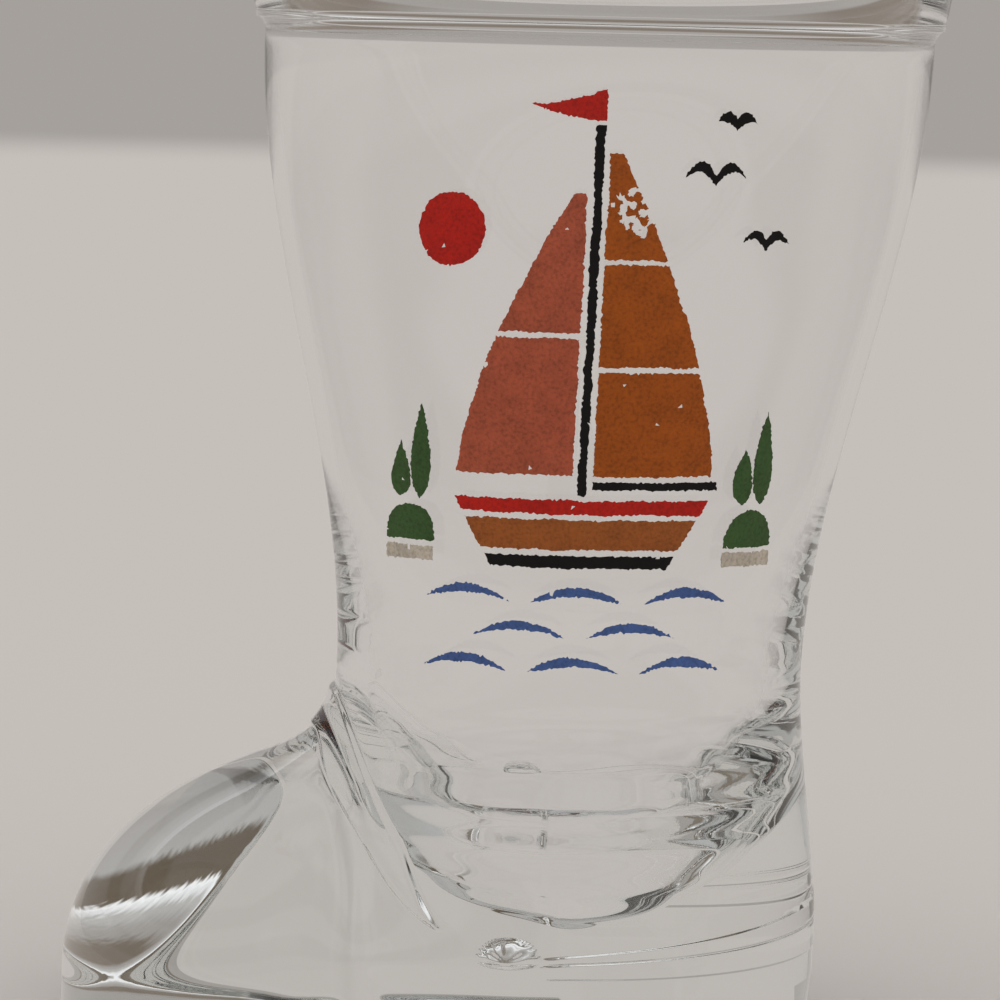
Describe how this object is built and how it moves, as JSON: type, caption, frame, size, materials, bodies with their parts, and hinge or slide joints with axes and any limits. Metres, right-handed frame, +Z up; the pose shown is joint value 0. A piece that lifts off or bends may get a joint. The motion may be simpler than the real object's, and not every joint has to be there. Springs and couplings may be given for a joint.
{
  "type": "boot shot glass",
  "caption": "Small clear pressed-glass drinking glass shaped like a boot, with a flared cuff, a hollow leg, a solid foot, a moulded spur and a sailing picture in fired enamel.",
  "frame": {"origin": "on the table plane, under the middle of the boot's length and width", "axes": "+Z up through the mouth, toe towards -X, heel towards +X, the printed side faces -Y"},
  "size_m": [0.0574, 0.047, 0.0731],
  "materials": {
    "glass": "clear, fire polished",
    "ink_pink": "fired enamel, satin",
    "ink_ochre": "fired enamel, satin",
    "ink_brown": "fired enamel, satin",
    "ink_red": "fired enamel, satin",
    "ink_blue": "fired enamel, satin",
    "ink_green": "fired enamel, satin",
    "ink_black": "fired enamel, satin",
    "ink_stone": "fired enamel, satin"
  },
  "bodies": {
    "root": {"glass_boot": "glass", "print_hull_keel": "ink_black", "print_hull_planks": "ink_brown", "print_hull_rail": "ink_red", "print_mast": "ink_black", "print_boom": "ink_black", "print_mainsail_1": "ink_ochre", "print_mainsail_2": "ink_ochre", "print_mainsail_3": "ink_ochre", "print_jib_1": "ink_pink", "print_jib_2": "ink_pink", "print_pennant": "ink_red", "print_sun": "ink_red", "print_gull_1": "ink_black", "print_gull_2": "ink_black", "print_gull_3": "ink_black", "print_hill_left": "ink_green", "print_shore_left": "ink_stone", "print_tree_left_1": "ink_green", "print_tree_left_2": "ink_green", "print_hill_right": "ink_green", "print_shore_right": "ink_stone", "print_tree_right_1": "ink_green", "print_tree_right_2": "ink_green", "print_wave_1": "ink_blue", "print_wave_2": "ink_blue", "print_wave_3": "ink_blue", "print_wave_4": "ink_blue", "print_wave_5": "ink_blue", "print_wave_6": "ink_blue", "print_wave_7": "ink_blue", "print_wave_8": "ink_blue"}
  },
  "joints": []
}
